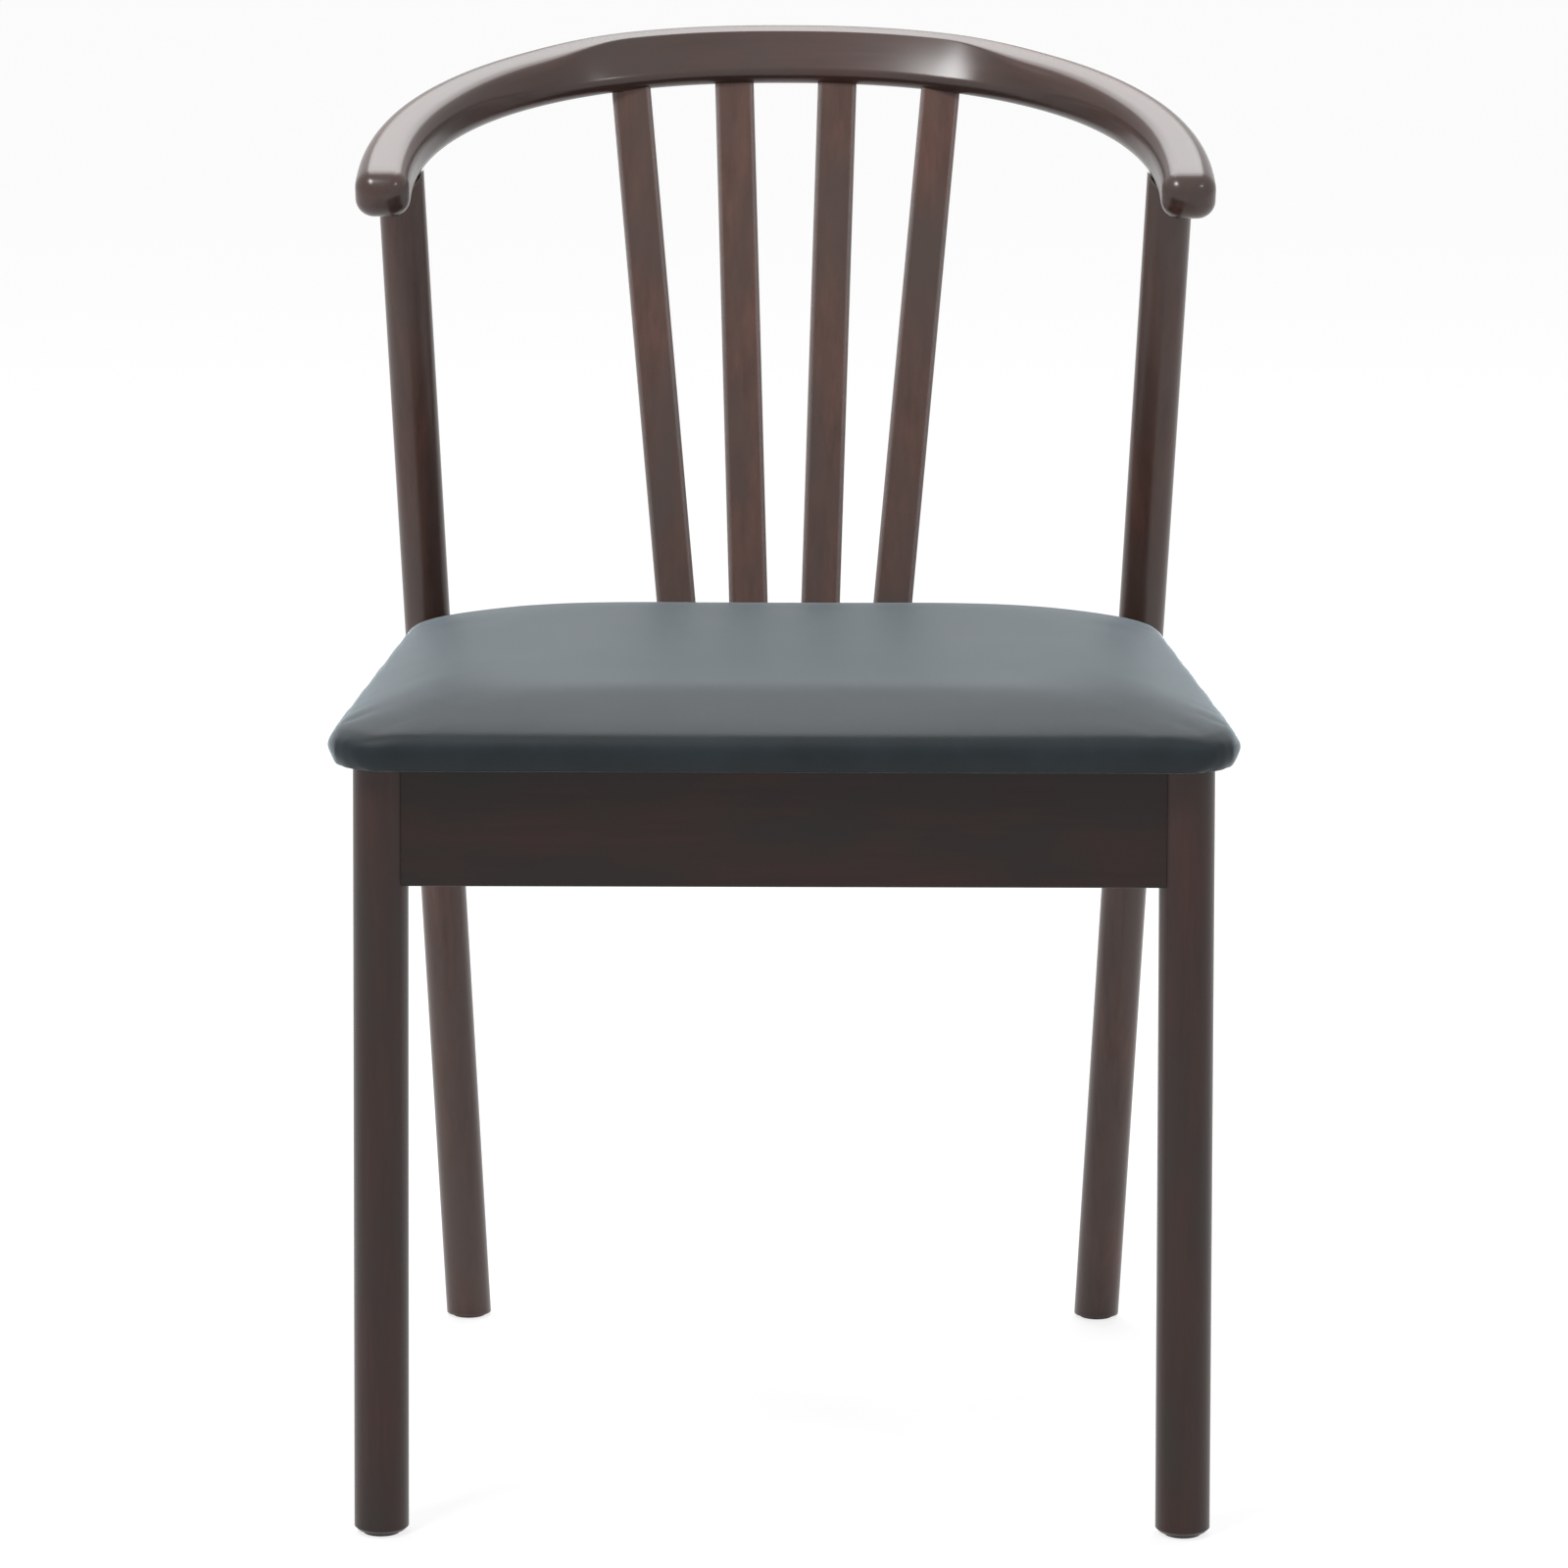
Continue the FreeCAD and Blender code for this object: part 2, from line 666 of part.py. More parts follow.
def mortises(label, member, side):
    """Mortises of the two rails that meet in a leg or post."""
    gap = value("glue_gap")
    cross = "front" if member == "leg" else "rear"
    ends = list(rail_ends(cross))
    ends = ends if side < 0 else ends[::-1]
    along_side = list(rail_ends("side", side))
    along_side = along_side if member == "leg" else along_side[::-1]
    start = tenon_start(member)
    return [
        tenon(f"{label}_mortise_cross", ends[0], ends[1], start, gap),
        tenon(f"{label}_mortise_side", along_side[0], along_side[1], start, gap),
    ]


def make_front_leg(name, side):
    """A round front leg from its glide to the seat."""
    label = f"front_leg_{name}"
    body = tapered_bar(label + "_body", [
        ("leg_diameter / 2 - leg_foot_round", "0"),
        ("leg_diameter / 2", "leg_foot_round"),
        ("leg_diameter / 2", "leg_length"),
    ])
    foot = leg_axis(side, value("glide_thickness + glue_gap"))
    body.Placement = upright(foot, leg_axis(side, value("leg_top")) - foot)
    tools = mortises(label, "leg", side) + [nail_form(label + "_nail_hole", foot, value("glue_gap"))]
    finish_part(label, cut(label + "_cut", body, tools))


def make_post(name, side, bow):
    """A round rear post, thickest at the seat, scribed to the bow and tenoned into it."""
    label = f"rear_post_{name}"
    direction = (post_axis(side, 1) - post_axis(side, 0)).normalize()
    above_bow = value("bow_end_height + bow_height")
    shoulder = next(level for level in frange(above_bow, value("leg_top"), -0.5)
                    if not inside(bow, post_axis(side, level)))
    root = "bow_height"
    low = post_axis(side, -value(root))
    blank = round_bar(label + "_blank", upright(low, direction), "post_diameter / 2",
                      str((post_axis(side, shoulder + value("bow_height / 2")) - low).Length))
    ground_side = "3 * post_diameter"
    ground_middle = value(f"glide_thickness + glue_gap - {ground_side} / 2")
    ground = centred_box(label + "_ground", Placement(post_axis(side, ground_middle), Rotation()),
                         ground_side, ground_side, ground_side)
    scribe_form = plain(label + "_bow_scribe", bow.Shape.copy())
    scribe_form.Placement = Placement(direction * -value("glue_gap"), Rotation())
    nail = nail_form(label + "_nail_hole", post_axis(side, 0), value("glue_gap"))
    trimmed = cut(label + "_trimmed", blank, mortises(label, "post", side) + [ground, nail, scribe_form])
    start = upright(post_axis(side, shoulder) - direction * value(root), direction)
    peg = round_bar(label + "_tenon", start, "post_tenon_diameter / 2", f"{root} + post_tenon_length")
    finish_part(label, fuse(label + "_joined", [trimmed, peg]))
    return round_bar(label + "_socket", start, "post_tenon_diameter / 2 + glue_gap",
                     f"{root} + post_tenon_length + glue_gap")


def frange(start, stop, step):
    """Numbers from start to stop by steps."""
    number = start
    while (number - stop) * step < 0:
        yield number
        number += step


def inside(solid, point):
    """Whether a point lies inside an object's solid."""
    return solid.Shape.Solids[0].isInside(point, 0.01, True)


def cushion_levels():
    """Height from the widest line, inset below it or share of the crown's insets, level by level."""
    drop = value("seat_edge_height")
    rise = value("seat_crown - seat_edge_height")
    tuck = value("seat_tuck")
    belly = (-drop * value("seat_belly"), tuck * value("seat_belly_tuck"), 0.0)
    levels = [(-drop, tuck, 0.0), belly, (0.0, 0.0, 0.0)]
    last = math.radians(value("seat_roll_turn"))
    for step in range(1, CUSHION_STEPS + 1):
        turn = last * step / CUSHION_STEPS
        climb = (math.sin(turn) / math.sin(last)) ** value("seat_crown_rise")
        travel = ((1 - math.cos(turn)) / (1 - math.cos(last))) ** value("seat_crown_run")
        levels.append((rise * climb, 0.0, travel))
    return levels


def cushion_wire(level, offset):
    """One outline of the cushion, moved in by an offset."""
    height, tuck, crown = level
    inset = tuck + offset
    front_y = value("seat_front_y") + inset + value("seat_front_roll") * crown
    back_y = value("seat_back_y") - inset - value("seat_back_roll") * crown
    side = inset + value("seat_side_roll") * crown
    taper = value("(seat_front_width - seat_back_width) / 2 / (seat_back_y - seat_front_y)")
    half_front = value("seat_front_width / 2") - side - taper * (front_y - value("seat_front_y"))
    half_back = value("seat_back_width / 2") - side + taper * (value("seat_back_y") - back_y)
    shrink = offset * (1 if height >= 0 else -1)
    shrink = shrink if abs(height) > 0 else 0
    level_z = value("leg_top + seat_edge_height") + height - shrink
    corners = [
        Vector(-half_front, front_y, level_z),
        Vector(half_front, front_y, level_z),
        Vector(half_back, back_y, level_z),
        Vector(-half_back, back_y, level_z),
    ]
    front_corner = value("seat_front_corner") - inset + value("seat_crown_corner") * crown
    back_corner = value("seat_back_corner") - inset + value("seat_crown_corner") * crown
    return rounded_wire(corners, [front_corner, front_corner, back_corner, back_corner])


def cushion_form(name, offset):
    """The crowned form of the seat with its drawn-in sides, moved in by an offset."""
    return ruled_loft(name, [cushion_wire(level, offset) for level in cushion_levels()])


def flat_outline(inset, front_corner, back_corner, height):
    """A flat outline like the seat's, inside its widest line by an inset."""
    front_y = value("seat_front_y") + inset
    back_y = value("seat_back_y") - inset
    half_front = value("seat_front_width / 2") - inset
    half_back = value("seat_back_width / 2") - inset
    corners = [
        Vector(-half_front, front_y, height),
        Vector(half_front, front_y, height),
        Vector(half_back, back_y, height),
        Vector(-half_back, back_y, height),
    ]
    return rounded_wire(corners, [front_corner, front_corner, back_corner, back_corner])


def slab(name, inset, front_corner, back_corner, bottom, thickness):
    """A flat panel with the seat's outline."""
    face = Part.Face(flat_outline(inset, front_corner, back_corner, bottom))
    return plain(name, face.extrude(Vector(0, 0, thickness)))


def make_seat():
    """Plywood board, foam, artificial leather skin folded under the board, and dust cover."""
    skin = value("skin_thickness")
    front_corner = value("seat_front_corner - board_inset")
    back_corner = value("seat_back_corner - board_inset")
    board = slab("board_panel", value("board_inset"), front_corner, back_corner,
                 value("board_bottom"), value("board_thickness"))
    length = seat_screw_length()
    tips = seat_screws()
    holes = [hole(f"board_hole_{index}", tip, length) for index, tip in enumerate(tips)]
    finish_part("seat_board", cut("board_bored", board, holes))

    outer = cushion_form("cushion_outer", 0.0)
    cavity = cushion_form("cushion_cavity", skin)
    margin = value("board_inset + skin_margin")
    mouth_corner = value("skin_mouth_corner")
    mouth = slab("skin_mouth", margin, mouth_corner, mouth_corner, value("leg_top") - skin, 3 * skin)
    hollow = cut("skin_hollow", outer, [cavity])
    finish_part("seat_cover", cut("skin_cut", hollow, [mouth]))

    filling = cushion_form("cushion_filling", skin + value("skin_gap"))
    under = slab("foam_under", 0, front_corner, back_corner, 0, value("board_top"))
    finish_part("seat_foam", cut("foam_cut", filling, [under]))

    cloth = value("dust_cover_thickness")
    cover = slab("dust_cloth", margin + value("skin_gap"), mouth_corner, mouth_corner,
                 value("board_bottom") - cloth, cloth)
    cloth_holes = [hole(f"cloth_hole_{index}", tip, length) for index, tip in enumerate(tips)]
    finish_part("dust_cover", cut("cloth_bored", cover, cloth_holes))


def make_blocks():
    """Corner blocks, and the screws that hold them to the rails and the seat to them."""
    length = value("block_leg")
    nose = value("block_nose")
    half = value("block_height / 2")
    names = {("front", -1): "front_left", ("front", 1): "front_right",
             ("rear", -1): "rear_left", ("rear", 1): "rear_right"}
    seat_tips = seat_screws()
    shank = seat_screw_length()
    for index, ((end, side), name) in enumerate(names.items()):
        corner, along_cross, along_side = block_corner(end, side)
        outline = [
            (value("block_relief"), 0),
            (length, 0),
            (length, nose),
            (nose, length),
            (0, length),
            (0, value("block_relief")),
        ]
        points = [corner + along_cross * across + along_side * run for across, run in outline]
        face = Part.Face(Part.makePolygon(points + points[:1]))
        block = plain(f"block_{name}_blank", face.extrude(Vector(0, 0, 2 * half)))
        block.Placement = Placement(Vector(0, 0, -half), Rotation())
        bore = hole(f"block_{name}_hole", seat_tips[index], shank, HOLE_RUN_OUT)
        finish_part(f"corner_block_{name}", cut(f"block_{name}_bored", block, [bore]))
    finish_part("seat_screws", plain("seat_screw_set", Part.makeCompound(
        [screw_shape(tip, shank) for tip in seat_tips])))


def make_glides(label, feet):
    """A pair of nail-on glides: a disc with its nail."""
    glides = []
    for index, foot in enumerate(feet):
        base = Placement(Vector(foot.x, foot.y, 0), Rotation())
        disc = round_bar(f"{label}_disc_{index}", base, "glide_diameter / 2", "glide_thickness")
        nail = nail_form(f"{label}_nail_{index}", foot, 0)
        glides.append(fuse(f"{label}_{index}", [disc, nail]))
    pair = doc.addObject("Part::Compound", label + "_pair")
    pair.Links = glides
    finish_part(label, pair)


def make_bow(form, sockets):
    """The sculpted bow with a socket for each post and a housing for each slat."""
    housings = [slat_box(f"slat_housing_bow_{index}", index, value("glue_gap"))
                for index in range(SLAT_COUNT)]
    finish_part("bow_rail", cut("bow_bored", form, sockets + housings))


def check_all():
    """Stops where a feature failed or a piece is empty or broken."""
    for item in doc.Objects:
        states = [state for state in item.State if state in ("Invalid", "Error")]
        if states:
            raise RuntimeError(f"{item.Name}: {states}")
    for label, item in parts.items():
        if item.Shape.isNull() or not item.Shape.isValid():
            raise RuntimeError(f"{label}: its shape is null or not valid")


fill_sheet()
bow = bow_form()
sockets = [make_post(name, side, bow) for name, side in SIDES.items()]
make_bow(bow, sockets)
make_slats()
make_rails()
for side_name, side_sign in SIDES.items():
    make_front_leg(side_name, side_sign)
make_glides("front_glides", [leg_axis(side, 0) for side in SIDES.values()])
make_glides("rear_glides", [post_axis(side, 0) for side in SIDES.values()])
make_seat()
make_blocks()
doc.recompute()
check_all()

os.makedirs("parts", exist_ok=True)
for part_label, piece in parts.items():
    piece.Shape.exportStep(f"parts/{part_label}.step")
    box = piece.Shape.BoundBox
    print(f"{part_label:24s} solids {len(piece.Shape.Solids)} volume {piece.Shape.Volume:10.0f}"
          f"  x {box.XMin:7.1f} {box.XMax:7.1f}  y {box.YMin:7.1f} {box.YMax:7.1f}"
          f"  z {box.ZMin:6.1f} {box.ZMax:6.1f}")
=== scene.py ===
import math
import bmesh
import bpy
from mathutils import Matrix, Vector


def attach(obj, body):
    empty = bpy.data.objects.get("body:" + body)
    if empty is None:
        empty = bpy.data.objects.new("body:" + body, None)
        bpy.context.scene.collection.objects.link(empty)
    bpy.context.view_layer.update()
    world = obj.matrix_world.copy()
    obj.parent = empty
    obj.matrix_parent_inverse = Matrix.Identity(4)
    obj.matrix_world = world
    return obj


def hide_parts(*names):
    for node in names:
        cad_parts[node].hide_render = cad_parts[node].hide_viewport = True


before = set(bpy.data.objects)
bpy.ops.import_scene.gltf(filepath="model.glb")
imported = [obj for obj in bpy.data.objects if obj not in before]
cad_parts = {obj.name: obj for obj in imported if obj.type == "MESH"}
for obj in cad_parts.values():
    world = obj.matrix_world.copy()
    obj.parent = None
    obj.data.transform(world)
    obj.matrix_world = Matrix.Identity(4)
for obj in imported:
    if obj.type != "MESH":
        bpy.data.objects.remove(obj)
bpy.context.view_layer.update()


def deselectAll():
    if bpy.context.object and bpy.context.object.mode != "OBJECT":
        bpy.ops.object.mode_set(mode="OBJECT")
    bpy.ops.object.select_all(action="DESELECT")


def pick(piece):
    # makes a piece the only one that operators act on
    deselectAll()
    piece.select_set(True)
    bpy.context.view_layer.objects.active = piece


def startPiece(name):
    # names the primitive that was just added
    piece = bpy.context.object
    piece.name = name
    piece.data.name = name
    return piece


def selectVertices(piece, test):
    # in edit mode
    bpy.ops.mesh.select_all(action="DESELECT")
    bpy.ops.mesh.select_mode(type="VERT")
    mesh = bmesh.from_edit_mesh(piece.data)
    for vertex in mesh.verts:
        if test(vertex):
            vertex.select_set(True)
    mesh.select_flush_mode()
    bmesh.update_edit_mesh(piece.data)


def addModifier(piece, kind, **settings):
    pick(piece)
    bpy.ops.object.modifier_add(type=kind)
    modifier = piece.modifiers[-1]
    for key, setting in settings.items():
        setattr(modifier, key, setting)
    return modifier


def applyModifier(piece, kind, **settings):
    modifier = addModifier(piece, kind, **settings)
    bpy.ops.object.modifier_apply(modifier=modifier.name)


def sweepRings(name, rings):
    # extrudes a ring of vertices from each given ring to the next, and fills both ends
    deselectAll()
    size = len(rings[0])
    bpy.ops.mesh.primitive_circle_add(vertices=size, radius=0.01)  # its points are placed below
    piece = startPiece(name)
    bpy.ops.object.mode_set(mode="EDIT")
    bpy.ops.mesh.select_all(action="SELECT")
    mesh = bmesh.from_edit_mesh(piece.data)
    mesh.verts.ensure_lookup_table()
    for vertex, point in zip(mesh.verts, rings[0]):
        vertex.co = point
    for before, after in zip(rings, rings[1:]):
        bmesh.update_edit_mesh(piece.data)
        bpy.ops.mesh.extrude_region_move()
        mesh = bmesh.from_edit_mesh(piece.data)
        for vertex in [vertex for vertex in mesh.verts if vertex.select]:
            nearest = min(range(size), key=lambda index: (before[index] - vertex.co).length_squared)
            vertex.co = after[nearest]
    bmesh.update_edit_mesh(piece.data)
    bpy.ops.mesh.edge_face_add()
    selectVertices(piece, lambda vertex: vertex.index < size)
    bpy.ops.mesh.edge_face_add()
    bpy.ops.mesh.select_all(action="SELECT")
    bpy.ops.mesh.normals_make_consistent(inside=False)
    bpy.ops.object.mode_set(mode="OBJECT")
    return piece


def nodeTree(owner):
    owner.use_nodes = True
    owner.node_tree.nodes.clear()
    return owner.node_tree


def link(tree, source, target):
    tree.links.new(source, target)


def mathNode(tree, operation, *sources):
    node = tree.nodes.new("ShaderNodeMath")
    node.operation = operation
    for index, source in enumerate(sources):
        if isinstance(source, (int, float)):
            node.inputs[index].default_value = source
        else:
            link(tree, source, node.inputs[index])
    return node.outputs[0]


def rangeNode(tree, source, limits, newLimits=(0.0, 1.0), smooth=False):
    node = tree.nodes.new("ShaderNodeMapRange")
    if smooth:
        node.interpolation_type = "SMOOTHSTEP"
    for key, setting in zip(("From Min", "From Max", "To Min", "To Max"), (*limits, *newLimits)):
        node.inputs[key].default_value = setting
    link(tree, source, node.inputs["Value"])
    return node.outputs[0]


def noiseNode(tree, vector, scale, detail=3.0, roughness=0.55):
    node = tree.nodes.new("ShaderNodeTexNoise")
    if isinstance(scale, (int, float)):
        node.inputs["Scale"].default_value = scale
    else:
        link(tree, scale, node.inputs["Scale"])
    node.inputs["Detail"].default_value = detail
    node.inputs["Roughness"].default_value = roughness
    link(tree, vector, node.inputs["Vector"])
    return node.outputs["Fac"]


def mappingNode(tree, vector, scale=(1, 1, 1), turn=(0, 0, 0)):
    node = tree.nodes.new("ShaderNodeMapping")
    node.inputs["Rotation"].default_value = turn
    node.inputs["Scale"].default_value = scale
    link(tree, vector, node.inputs["Vector"])
    return node.outputs["Vector"]


def mixColours(tree, factor, first, second):
    node = tree.nodes.new("ShaderNodeMix")
    node.data_type = "RGBA"
    link(tree, factor, node.inputs["Factor"])
    for index, colour in ((6, first), (7, second)):  # A and B of the colour mix
        if isinstance(colour, tuple):
            node.inputs[index].default_value = colour + (1,)
        else:
            link(tree, colour, node.inputs[index])
    return node.outputs[2]


def mixValues(tree, factor, first, second):
    node = tree.nodes.new("ShaderNodeMix")
    node.data_type = "FLOAT"
    link(tree, factor, node.inputs["Factor"])
    link(tree, first, node.inputs["A"])
    node.inputs["B"].default_value = second
    return node.outputs["Result"]


def bumpNode(tree, height, strength, distance):
    node = tree.nodes.new("ShaderNodeBump")
    node.inputs["Strength"].default_value = strength
    node.inputs["Distance"].default_value = distance
    link(tree, height, node.inputs["Height"])
    return node.outputs[0]


def principledNode(tree, body, roughness, settings):
    shader = tree.nodes.new("ShaderNodeBsdfPrincipled")
    for key, setting in settings.items():
        shader.inputs[key].default_value = setting
    link(tree, body, shader.inputs["Base Color"])
    link(tree, roughness, shader.inputs["Roughness"])
    output = tree.nodes.new("ShaderNodeOutputMaterial")
    link(tree, shader.outputs[0], output.inputs["Surface"])
    return shader


def startGroup(name, inputs, outputs):
    # a shared effect: its tree, its input sockets and its output sockets
    group = bpy.data.node_groups.new(name, "ShaderNodeTree")
    for key, kind in inputs.items():
        group.interface.new_socket(key, in_out="INPUT", socket_type=kind)
    for key in outputs:
        group.interface.new_socket(key, in_out="OUTPUT", socket_type="NodeSocketFloat")
    entry = group.nodes.new("NodeGroupInput")
    leave = group.nodes.new("NodeGroupOutput")
    return group, entry.outputs, leave.inputs


def placeGroup(tree, group, vector=None, **inputs):
    node = tree.nodes.new("ShaderNodeGroup")
    node.node_tree = group
    if vector is not None:
        link(tree, vector, node.inputs["Vector"])
    for key, setting in inputs.items():
        node.inputs[key].default_value = setting
    return node.outputs


def objectPlace(tree):
    return tree.nodes.new("ShaderNodeTexCoord").outputs["Object"]


def backgroundRays(tree):
    # one for rays that show the background: seen, mirrored or through glass
    rays = tree.nodes.new("ShaderNodeLightPath").outputs
    mirrored = mathNode(tree, "MAXIMUM", rays["Is Camera Ray"], rays["Is Glossy Ray"])
    return mathNode(tree, "MAXIMUM", mirrored, rays["Is Transmission Ray"])


print("stage: camera")

# On the middle line, 3.5 m in front of the front legs
view = dict(place=(0.0, -3.739, 1.102), pitchDown=11.0, roll=0.15, lens=152.9, sensor=36)
cameraData = bpy.data.cameras.new("camera")
cameraData.sensor_width = view["sensor"]
cameraData.lens = view["lens"]
camera = bpy.data.objects.new("camera", cameraData)
camera.location = view["place"]
tiltDown = Matrix.Rotation(math.radians(90 - view["pitchDown"]), 3, "X")
camera.rotation_euler = (tiltDown @ Matrix.Rotation(math.radians(view["roll"]), 3, "Z")).to_euler()
bpy.context.scene.collection.objects.link(camera)
bpy.context.scene.camera = camera
bpy.context.scene.view_settings.view_transform = "Standard"

print("stage: pale floor")

# bounce is the paint that lights the chair, seen and glow are the same floor as background
floorPaint = dict(size=60, bounce=0.85, seen=0.26, glow=0.80)
deselectAll()
bpy.ops.mesh.primitive_plane_add(size=floorPaint["size"], location=(0, 0, 0))
floor = startPiece("floor")
floorMaterial = bpy.data.materials.new("paleFloor")
tree = nodeTree(floorMaterial)
bounceLight = tree.nodes.new("ShaderNodeBsdfDiffuse")
bounceLight.inputs["Color"].default_value = (floorPaint["bounce"],) * 3 + (1,)
seenPaint = tree.nodes.new("ShaderNodeBsdfDiffuse")
seenPaint.inputs["Color"].default_value = (floorPaint["seen"],) * 3 + (1,)
glow = tree.nodes.new("ShaderNodeEmission")
glow.inputs["Strength"].default_value = floorPaint["glow"]
seenFloor = tree.nodes.new("ShaderNodeAddShader")
link(tree, seenPaint.outputs[0], seenFloor.inputs[0])
link(tree, glow.outputs[0], seenFloor.inputs[1])
chosen = tree.nodes.new("ShaderNodeMixShader")
link(tree, backgroundRays(tree), chosen.inputs[0])
link(tree, bounceLight.outputs[0], chosen.inputs[1])
link(tree, seenFloor.outputs[0], chosen.inputs[2])
output = tree.nodes.new("ShaderNodeOutputMaterial")
link(tree, chosen.outputs[0], output.inputs["Surface"])
floor.data.materials.append(floorMaterial)

print("stage: white room and softboxes")

# Bright behind and above the chair, dim in front of it, and white where it is seen
room = dict(seen=1.0, front=0.05, back=1.32, top=0.64, turnsBright=(-0.35, 0.55), turnsTop=(0.45, 0.95))
world = bpy.data.worlds.new("room")
bpy.context.scene.world = world
tree = nodeTree(world)
where = tree.nodes.new("ShaderNodeTexCoord")
split = tree.nodes.new("ShaderNodeSeparateXYZ")
link(tree, where.outputs["Generated"], split.inputs[0])
backward = rangeNode(tree, split.outputs["Y"], room["turnsBright"], (room["front"], room["back"]),
                     smooth=True)
upward = rangeNode(tree, split.outputs["Z"], room["turnsTop"], smooth=True)
roomLight = mixValues(tree, upward, backward, room["top"])
background = tree.nodes.new("ShaderNodeBackground")
background.inputs["Color"].default_value = (1, 1, 1, 1)
link(tree, mixValues(tree, backgroundRays(tree), roomLight, room["seen"]), background.inputs["Strength"])
output = tree.nodes.new("ShaderNodeOutputWorld")
link(tree, background.outputs[0], output.inputs["Surface"])

lamps = {
    "backSoftbox": dict(place=(0.0, 1.6, 3.3), aim=(0.0, 0.0, 0.7), size=2.4, watts=66),
    "leftSoftbox": dict(place=(-1.22, -1.62, 2.95), aim=(0.0, 0.0, 0.7), size=0.8, watts=52),
    "rightSoftbox": dict(place=(1.6, -1.95, 2.4), aim=(0.0, 0.0, 0.7), size=0.3, watts=9),
}
for name, lamp in lamps.items():
    data = bpy.data.lights.new(name, "AREA")
    data.shape = "SQUARE"
    data.size = lamp["size"]
    data.energy = lamp["watts"]
    softbox = bpy.data.objects.new(name, data)
    softbox.location = lamp["place"]
    toward = Vector(lamp["aim"]) - Vector(lamp["place"])
    softbox.rotation_euler = toward.to_track_quat("-Z", "Y").to_euler()
    bpy.context.scene.collection.objects.link(softbox)

print("materials: shared grain, edge line, leather creases and scuffs")

# Stretch, detail and roughness of each noise, with the grain along X of the vector it is given
grain = dict(streaks=((9, 130, 130), 4.0, 0.6), pores=((45, 1150, 1150), 2.0, 0.5),
             patches=((13, 34, 34), 2.5, 0.5), streakLimits=(0.3, 0.7), patchLimits=(0.32, 0.68),
             glossier=0.03, duller=0.05, poreDepth=0.0004)
grainGroup, entry, leave = startGroup("woodGrain", {"Vector": "NodeSocketVector"},
                                      ("Streaks", "Pores", "Patches"))
for effect in ("streaks", "pores", "patches"):
    stretch, detail, roughness = grain[effect]
    along = mappingNode(grainGroup, entry["Vector"], stretch)
    link(grainGroup, noiseNode(grainGroup, along, 1.0, detail, roughness), leave[effect.capitalize()])

# Mask of the edges, for a painted highlight: a pale colour where rounded edges catch the light
edgeLine = dict(radius=0.003, turnLimits=(0.995, 0.93), samples=4, scuffsAndHighlight=(0.52, 0.47, 0.46))
edgeGroup, entry, leave = startGroup("edgeLine", {"Radius": "NodeSocketFloat"}, ("Mask",))
rounded = edgeGroup.nodes.new("ShaderNodeBevel")
rounded.samples = edgeLine["samples"]
link(edgeGroup, entry["Radius"], rounded.inputs["Radius"])
surface = edgeGroup.nodes.new("ShaderNodeNewGeometry")
match = edgeGroup.nodes.new("ShaderNodeVectorMath")
match.operation = "DOT_PRODUCT"
link(edgeGroup, rounded.outputs["Normal"], match.inputs[0])
link(edgeGroup, surface.outputs["Normal"], match.inputs[1])
link(edgeGroup, rangeNode(edgeGroup, match.outputs["Value"], edgeLine["turnLimits"]), leave["Mask"])

# Fine creases and broad mottling of leather and cloth
creases = dict(limits=(0.0, 0.25), mottleScale=18.0, mottleLimits=(0.35, 0.65), duller=0.05, depth=0.0003)
scaledInputs = {"Vector": "NodeSocketVector", "Scale": "NodeSocketFloat"}
creaseGroup, entry, leave = startGroup("skinCreases", scaledInputs, ("Creases", "Mottle"))
cells = creaseGroup.nodes.new("ShaderNodeTexVoronoi")
cells.feature = "DISTANCE_TO_EDGE"
link(creaseGroup, entry["Vector"], cells.inputs["Vector"])
link(creaseGroup, entry["Scale"], cells.inputs["Scale"])
link(creaseGroup, rangeNode(creaseGroup, cells.outputs["Distance"], creases["limits"]), leave["Creases"])
mottle = noiseNode(creaseGroup, entry["Vector"], creases["mottleScale"])
link(creaseGroup, rangeNode(creaseGroup, mottle, creases["mottleLimits"]), leave["Mottle"])

scuffs = dict(detail=4.0, limits=(0.3, 0.7), duller=0.15)
scuffGroup, entry, leave = startGroup("scuffs", scaledInputs, ("Scuffs",))
link(scuffGroup, noiseNode(scuffGroup, entry["Vector"], entry["Scale"], scuffs["detail"]), leave["Scuffs"])


def stainedWood(name, finish, turn=(0, 0, 0), attribute=None):
    # dark stain under a satin lacquer, with the grain along the turned X axis
    material = bpy.data.materials.new(name)
    tree = nodeTree(material)
    if attribute:
        where = tree.nodes.new("ShaderNodeAttribute")
        where.attribute_name = attribute
        vector = where.outputs["Vector"]
    else:
        vector = mappingNode(tree, objectPlace(tree), turn=turn)
    effects = placeGroup(tree, grainGroup, vector)
    streaks = rangeNode(tree, effects["Streaks"], grain["streakLimits"])
    patches = rangeNode(tree, effects["Patches"], grain["patchLimits"])
    body = mixColours(tree, streaks, finish["dark"], finish["light"])
    body = mixColours(tree, patches, body, finish["patch"])
    # painted highlight: a pale colour mixed in along the edges, as strong as the finish's edge share
    if finish["edge"]:
        edges = placeGroup(tree, edgeGroup, Radius=edgeLine["radius"])
        scuffsAndHighlight = mathNode(tree, "MULTIPLY", edges["Mask"], finish["edge"])
        body = mixColours(tree, scuffsAndHighlight, body, edgeLine["scuffsAndHighlight"])
    gloss = rangeNode(tree, effects["Streaks"], grain["streakLimits"],
                      (finish["roughness"] - grain["glossier"], finish["roughness"] + grain["duller"]))
    shader = principledNode(tree, body, gloss, {
        "Specular IOR Level": finish["under"], "Coat Weight": finish["coat"],
        "Coat Roughness": finish["coatRoughness"]})
    link(tree, bumpNode(tree, effects["Pores"], finish["bump"], grain["poreDepth"]), shader.inputs["Normal"])
    return material


